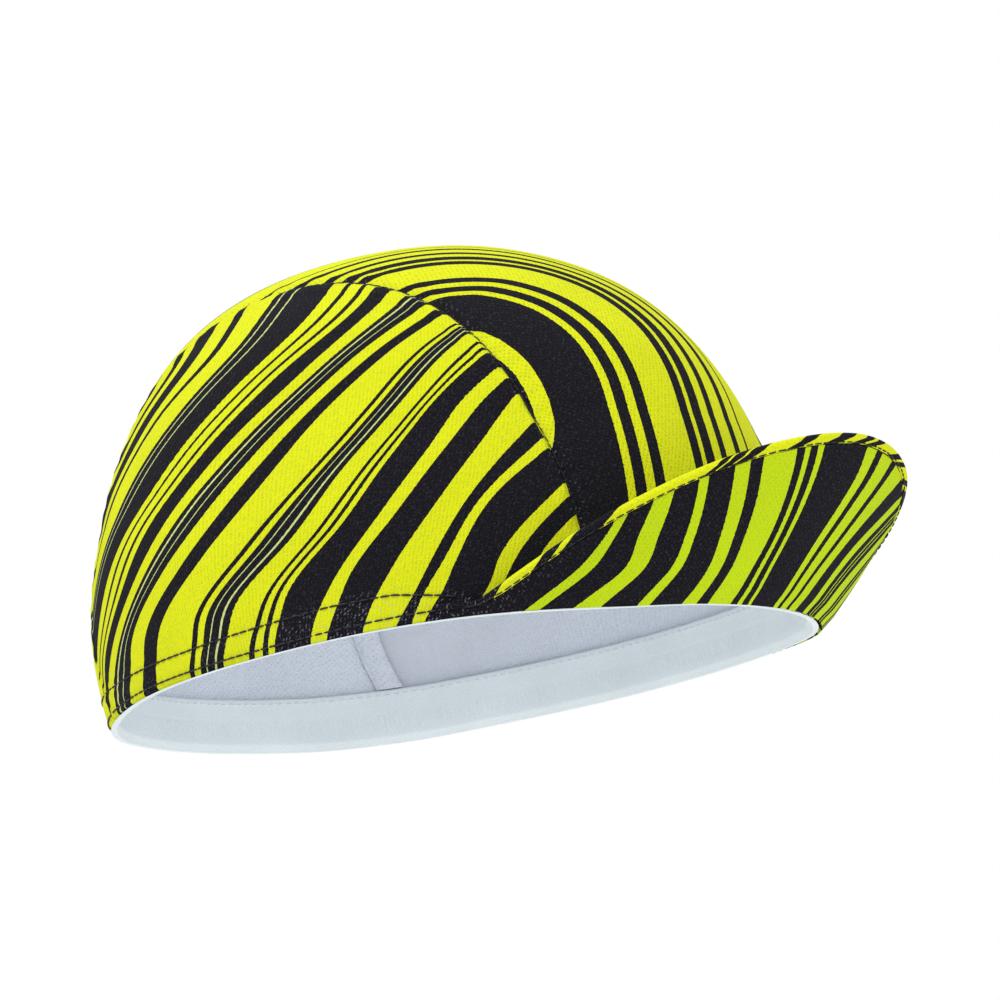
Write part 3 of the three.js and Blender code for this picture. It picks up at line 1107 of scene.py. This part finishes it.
def makeAllowance(name, sign, node):
    outerInset = cap["clothThickness"] + cap["insideGap"]
    outer, angle, reach = allowanceGrid(sign, outerInset, allowance["columns"])
    innerBase = allowanceGrid(sign, outerInset + allowance["thickness"], allowance["columns"])[0]
    run = runAlong(innerBase[:, :1], 0)
    across = np.linspace(0, 1, allowance["columns"])[None, :] + 0 * run
    bead = allowance["bead"]
    stand = ripple(run, allowance["ripple"]) * (across - allowance["rippleFrom"])
    stand = stand + bead["height"] * hump(across, bead["at"], bead["width"])
    stand = stand - allowance["edgeRound"] * smoothStep(across, allowance["edgeRoundFrom"], 1)
    inner = lifted(innerBase) - crownNormal(innerBase) * stand[..., None]
    cloth = np.stack([reach + 0 * run, run + 0 * reach], -1)
    piece = loftPiece(
        name, closedGrid(lifted(outer), inner), {"cloth": closedGrid(cloth, cloth)},
        [insideCloth], lambda column: 0,
    )
    settle(piece, "inside_cloth", node)


makeSweatband()
makeAllowance("seamAllowanceRight", -1, "seam_allowance_right")
makeAllowance("seamAllowanceLeft", 1, "seam_allowance_left")

print("stage: peak")

peak = {
    "depth": 50,
    "spread": 54,
    "turn": 0.9,
    "roundness": 1.8,
    "taper": 1.65,
    "lean": 44,
    "endLean": 31,
    "rootDrop": 0.3,
    "endDepth": 3,
    "coverThickness": 1.25,
    "endShare": 0.5,
    "endReach": 8,
    "rootShare": 0.4,
    "rootReach": 6,
    "edgeBand": 2.0,
    "edgeBandShare": 0.28,
    "edgeProud": 0.12,
    "edgeRound": 0.35,
    "edgeThin": 0.6,  # the covers are pressed together along their edge
    "edgeThinReach": 5,
    "stations": 221,
    "stops": 46,
    "reach": (-1.2, 1.2),
    "chart": {
        "rows": (0, 3, 10, 20, 30, 40, 50),
        "lines": (
            -0.95, -0.56, -0.48, -0.367, -0.275, -0.21, -0.14, -0.09, 0.02, 0.125, 0.2, 0.33, 0.7, 1.05,
        ),
        "table": (
            (-1.15, -0.77, -0.63, -0.455, -0.32, -0.24, -0.165, -0.097,
             0.01, 0.095, 0.175, 0.275, 0.62, 1.0),
            (-1.12, -0.725, -0.59, -0.435, -0.305, -0.232, -0.16, -0.096,
             0.011, 0.097, 0.177, 0.28, 0.63, 1.01),
            (-1.02, -0.635, -0.51, -0.387, -0.28, -0.213, -0.15, -0.094,
             0.015, 0.105, 0.182, 0.29, 0.65, 1.02),
            (-0.95, -0.56, -0.48, -0.367, -0.275, -0.21, -0.14, -0.09,
             0.02, 0.125, 0.2, 0.33, 0.7, 1.05),
            (-0.92, -0.52, -0.455, -0.362, -0.28, -0.215, -0.143, -0.092,
             0.03, 0.145, 0.25, 0.4, 0.76, 1.1),
            (-0.9, -0.50, -0.445, -0.368, -0.292, -0.23, -0.155, -0.102,
             0.033, 0.165, 0.32, 0.5, 0.83, 1.15),
            (-0.89, -0.49, -0.44, -0.38, -0.305, -0.245, -0.175, -0.12,
             0.012, 0.172, 0.42, 0.6, 0.9, 1.2),
        ),
    },
    "yellow": (
        (-0.557, -0.536), (-0.48, -0.43), (-0.367, -0.345), (-0.275, -0.24), (-0.21, -0.14), (-0.12, -0.11),
        (-0.09, -0.08), (0.02, 0.045), (0.063, 0.097), (0.117, 0.152), (0.2, 0.24), (0.253, 0.258),
        (0.27, 0.275), (0.29, 0.295), (0.33, 0.385), (0.41, 0.415), (0.44, 0.50), (0.53, 0.55),
        (0.61, 0.69), (0.73, 0.75), (0.81, 0.9), (0.97, 1.02),
    ),
    "edgeYellow": (
        (-0.80, -0.69), (-0.64, -0.615), (-0.52, -0.305), (-0.285, -0.278), (-0.25, -0.243),
        (-0.21, -0.138), (-0.105, -0.05), (-0.005, 0.03), (0.055, 0.067), (0.095, 0.165), (0.195, 0.21),
        (0.24, 0.3), (0.33, 0.35), (0.42, 0.52), (0.55, 0.57), (0.65, 0.76), (0.8, 0.83), (0.9, 0.97),
    ),
    "endWear": 0.22,
    "endWearSpan": (0.55, 0.85),
    "edgeWearSpan": (2, 8),
    "leastWear": 0.04,
    "rootRun": 105,  # from the middle to an end, along the rim
    "edgeRipple": {"height": 0.1, "length": 5.4, "sway": 1.2, "swayLength": 19},
    "edgeRippleReach": 3.5,
    "fullness": 0.35,  # of the under cover, where the peak is at least this deep
    "fullDepth": 30,
    # the upper cover round the edge: rings on the back, round the fold, and by shares in to its front
    "backStops": (0.35, 0.7),
    "foldStops": 12,
    "lapStops": (0.8, 0.5, 0.2, 0.05, 0.0),
    "lapSwell": (1.1, 1.25, 1.1, 0.8, 0.2),
    "edgeLean": 0.018,  # of the upper cover's stripes round its edge, per millimetre
    "leanReach": 7,  # over which the lean dies out away from the edge
    "foldSpan": 1.5,  # way round the fold at the edge
    "squareReach": 24,  # how far from the edge the stripes turn to cross it squarely
    "rootTuck": 0.7,  # the covers lie this much closer to the crown where they are sewn on
    "rootTuckReach": 5,
    "rootRaise": 1.1,  # of the upper cover, which the under cover hides from below
}


# The flipped peak along the rim, from -1 at the wearer's right end to 1 at the left. The second
# value is a function of the distance from the root, a count of covers in from the front, and a gap.
def peakFrame(place):
    planAngle = np.radians(peak["spread"]) * place
    root = hitAtHeight(planAngle, 0, 0)
    facing = peak["turn"] * np.arctan2(root[..., 1] / halfWidth ** 2, root[..., 0] / halfLength ** 2)
    outward = np.stack([np.cos(facing), np.sin(facing), 0 * facing], -1)
    upward = np.array([0.0, 0.0, 1.0])
    lean = np.radians(lerp(peak["lean"], peak["endLean"], place ** 2))[..., None]
    shape = np.maximum(0, 1 - np.abs(place) ** peak["roundness"]) ** peak["taper"]
    depth = np.maximum(peak["endDepth"], peak["depth"] * shape)
    endShare = lerp(peak["endShare"], 1, np.minimum(1, depth / peak["endReach"]))
    edgeBand = np.minimum(peak["edgeBand"], peak["edgeBandShare"] * depth)

    def thickness(along):
        rootShare = lerp(peak["rootShare"], 1, np.minimum(1, along / peak["rootReach"]))
        pressed = lerp(peak["edgeThin"], 1, smoothStep(depth - along, 0, peak["edgeThinReach"]))
        return peak["coverThickness"] * endShare * rootShare * pressed

    face = outward * np.sin(lean) + upward * np.cos(lean)
    inward = upward * np.sin(lean) - outward * np.cos(lean)
    start = lifted(root) + outward * (2 * cap["pieceGap"] + 2 * thickness(0))[..., None]
    start = start - upward * (peak["rootDrop"] * (1 - 0.4 * place ** 2))[..., None]

    def pointAt(along, covers=0, gap=0):
        offset = covers * thickness(along) + gap
        root = 1 - smoothStep(along, 0, peak["rootTuckReach"])
        point = start + face * along[..., None] + inward * offset[..., None]
        point = point - outward * (peak["rootTuck"] * root)[..., None]
        return point + upward * (peak["rootRaise"] * root * np.minimum(covers, 1))[..., None]

    return depth, edgeBand, pointAt, inward


def peakMaps(place, along, fromEdge, front):
    if front:
        stripe = stripePlace(peak["chart"], place, along)
    else:
        inFromEdge = peak["leanReach"] * (np.exp(np.minimum(fromEdge, 0) / peak["leanReach"]) - 1)
        stripe = place + peak["edgeLean"] * (inFromEdge + np.maximum(fromEdge, 0))
    end = smoothStep(-place, *peak["endWearSpan"])
    near = 1 - smoothStep(np.abs(fromEdge), *peak["edgeWearSpan"])
    wear = peak["leastWear"] + peak["endWear"] * end * near
    low, high = peak["reach"]
    return {
        "print": np.stack([(stripe - low) / (high - low), wear], -1),
        "cloth": np.stack([place * peak["rootRun"], along], -1),
    }


def makePeakUnder(printedMaterial):
    place = np.linspace(-1, 1, peak["stations"])[:, None]
    depth, edgeBand, pointAt, inward = peakFrame(place)
    stops = denseEnds(peak["stops"], even=0.7)[None, :]
    along = stops * (depth - edgeBand - cap["pieceGap"])
    fromEdge = depth - edgeBand - along
    puckers = ripple(place * peak["rootRun"], peak["edgeRipple"])
    puckers = puckers * hump(fromEdge, 0, peak["edgeRippleReach"])
    full = peak["fullness"] * np.sin(np.pi * stops) * np.minimum(1, depth / peak["fullDepth"])
    front = pointAt(along) - inward * (full + puckers)[..., None]
    back = pointAt(along, 1)
    grids = [closedGrid(grid, grid) for grid in (place + 0 * along, along, fromEdge + edgeBand)]
    maps = peakMaps(*grids, True)
    piece = loftPiece("peakUnderCover", closedGrid(front, back), maps, [printedMaterial], lambda column: 0)
    settle(piece, "peak_under_cloth", "peak_under_cover")


def makePeakUpper(printedMaterial):
    place = np.linspace(-1, 1, peak["stations"])[:, None]
    depth, edgeBand, pointAt, inward = peakFrame(place)
    gap, proud, span = cap["pieceGap"], peak["edgeProud"], peak["foldSpan"]
    stops = denseEnds(peak["stops"], even=0.7)[None, :]
    body = stops * (depth - edgeBand)
    outerFace = pointAt(body, 2, gap)
    innerFace = pointAt(body, 1, gap)
    rise = np.array(peak["backStops"])[None, :]
    backAlong = depth - edgeBand * (1 - rise)
    backPart = pointAt(backAlong, 2, gap)
    # the edge turns over from the back to the front in a rounded fold
    turn = np.linspace(0, 1, peak["foldStops"])[None, :]
    foldAlong = depth + peak["edgeRound"] * np.sin(np.pi * turn)
    fold = pointAt(foldAlong, 2 * (1 - turn), lerp(gap, -proud, turn))
    lap = np.array(peak["lapStops"])[None, :]
    swell = np.array(peak["lapSwell"])[None, :]
    frontPart = pointAt(depth - edgeBand * (1 - lap), 0, -proud * swell)
    outerLoop = np.concatenate([outerFace, backPart, fold, frontPart], axis=1)
    # the inner face holds still while the outer one goes round the fold
    extra = outerLoop.shape[1] - innerFace.shape[1]
    innerLoop = np.concatenate([innerFace, np.repeat(innerFace[:, -1:], extra, axis=1)], axis=1)
    loops = closedGrid(outerLoop, innerLoop)
    frontAlong = depth + span + edgeBand * (1 - lap)
    alongOut = np.concatenate([body, backAlong, depth + span * turn, frontAlong], axis=1)
    alongIn = np.concatenate([body, np.repeat(body[:, -1:], extra, axis=1)], axis=1)
    along = closedGrid(alongOut, alongIn)
    # near the edge the stripes cross it squarely before they lean
    edgeLine = pointAt(depth, 1)
    tangent = np.gradient(edgeLine, place[:, 0], axis=0)
    shift = ((loops - edgeLine) * tangent).sum(-1) / (tangent ** 2).sum(-1)
    shift = shift * (1 - smoothStep(depth - along, 0, peak["squareReach"]))
    maps = peakMaps(place + shift, along, along - depth, False)
    piece = loftPiece("peakUpperCover", loops, maps, [printedMaterial], lambda column: 0)
    settle(piece, "peak_upper_cloth", "peak_upper_cover")


def invertBands(yellow, low, high):
    black, last = [], low
    for start, end in yellow:
        black.append((last, start, "black"))
        last = end
    return black + [(last, high, "black")]


peakPrint = {
    **printSettings,
    "eyeletShade": 0.1,
    "bumpDepth": 0.22,
    "edgeRagged": printSettings["edgeRagged"] / peak["rootRun"],
    "edgeKnit": printSettings["edgeKnit"] / peak["rootRun"],
}
# painted shade: the under cover's print takes the darker, greener yellow of its shaded side
shadedPeakDyes = {**dyes, "yellow": shadedPeakYellow}
low, high = peak["reach"]
underBands = invertBands(peak["yellow"], low + 0.001, high - 0.001)
upperBands = invertBands(peak["edgeYellow"], low + 0.001, high - 0.001)
printedUnder = printedCloth("printedPeakUnder", peakPrint, underBands, peak["reach"], shadedPeakDyes)
printedUpper = printedCloth("printedPeakUpper", peakPrint, upperBands, peak["reach"], dyes)
makePeakUnder(printedUnder)
makePeakUpper(printedUpper)

print("stage: stitches")

stitches = {
    # the lift is how far the thread's middle stands off the cloth
    "hem": {"length": 2.7, "gap": 0.16, "radius": 0.25, "lift": 0.12, "samples": 700},
    "peakEdge": {"length": 2.5, "gap": 0.3, "radius": 0.2, "samples": 500},
    "bandTop": {"length": 1.6, "gap": 1.0, "radius": 0.2, "lift": 0.15, "samples": 900},
    "seam": {"length": 2.6, "gap": 0.12, "radius": 0.15, "slant": 0.15, "lift": -0.62, "samples": 600},
    "allowanceEdge": {"length": 1.7, "gap": 0.5, "radius": 0.3, "slant": 1.4, "lift": 0.2},
    "hemFrom": 50,  # plan angle in degrees where the peak leaves the hem free
    "seamFrom": 3,  # degrees up from the rim
    "bandTopDown": 1.6,  # from the band's top edge
    "peakEdgeIn": 0.45,  # from the inner side of the edge band
    "peakReach": 0.93,
}


def threadRow(base, normal, kind):
    return lifted(base) + normal * stitches[kind]["lift"], normal


def makeHemStitches():
    rows = []
    start = math.radians(stitches["hemFrom"])
    turn = np.linspace(start, 2 * math.pi - start, stitches["hem"]["samples"])
    for row in range(2):
        height = 0
        for _ in range(4):
            height = hemHeights(hitAtHeight(turn, height, 0))[row]
        base = hitAtHeight(turn, height, 0)
        rows.append(threadRow(base, crownNormal(base), "hem"))
    makeStitches("hemStitches", rows, stitches["hem"], blackThread, "side_cloth")


# The thread that shows in the groove of the two seams
def makeSeamStitches():
    rows = []
    start = math.radians(stitches["seamFrom"])
    angle = np.linspace(start, math.pi - start, stitches["seam"]["samples"])
    for sign in (-1, 1):
        base = hitOnSection(sign * (seamHalfWidth(angle) + cap["pieceGap"] / 2), angle, 0)
        rows.append(threadRow(base, crownNormal(base), "seam"))
    makeStitches("seamStitches", rows, stitches["seam"], blackThread, "side_cloth")


def makePeakStitches():
    place = np.linspace(-stitches["peakReach"], stitches["peakReach"], stitches["peakEdge"]["samples"])
    depth, edgeBand, pointAt, inward = peakFrame(place)
    along = depth - edgeBand + stitches["peakEdgeIn"]
    row = (pointAt(along, gap=-peak["edgeProud"]), -inward)
    makeStitches("peakEdgeStitches", [row], stitches["peakEdge"], blackThread, "peak_upper_cloth")


def makeBandStitches():
    turn = np.linspace(0, 2 * math.pi, stitches["bandTop"]["samples"])
    inset = cap["clothThickness"] + cap["insideGap"] + band["thickness"]
    base = hitAtHeight(turn, band["height"] - stitches["bandTopDown"], inset)
    row = threadRow(base, -crownNormal(base), "bandTop")
    makeStitches("bandStitches", [row], stitches["bandTop"], paleThread, "band_elastic")


def makeAllowanceStitches():
    rows = []
    inset = cap["clothThickness"] + cap["insideGap"] + allowance["thickness"]
    for sign in (-1, 1):
        base = allowanceGrid(sign, inset, 14)[0][:, 1]
        rows.append(threadRow(base, -crownNormal(base), "allowanceEdge"))
    makeStitches("allowanceStitches", rows, stitches["allowanceEdge"], paleThread, "inside_cloth")


makeHemStitches()
makeSeamStitches()
makePeakStitches()
makeBandStitches()
makeAllowanceStitches()

print("stage: finished")
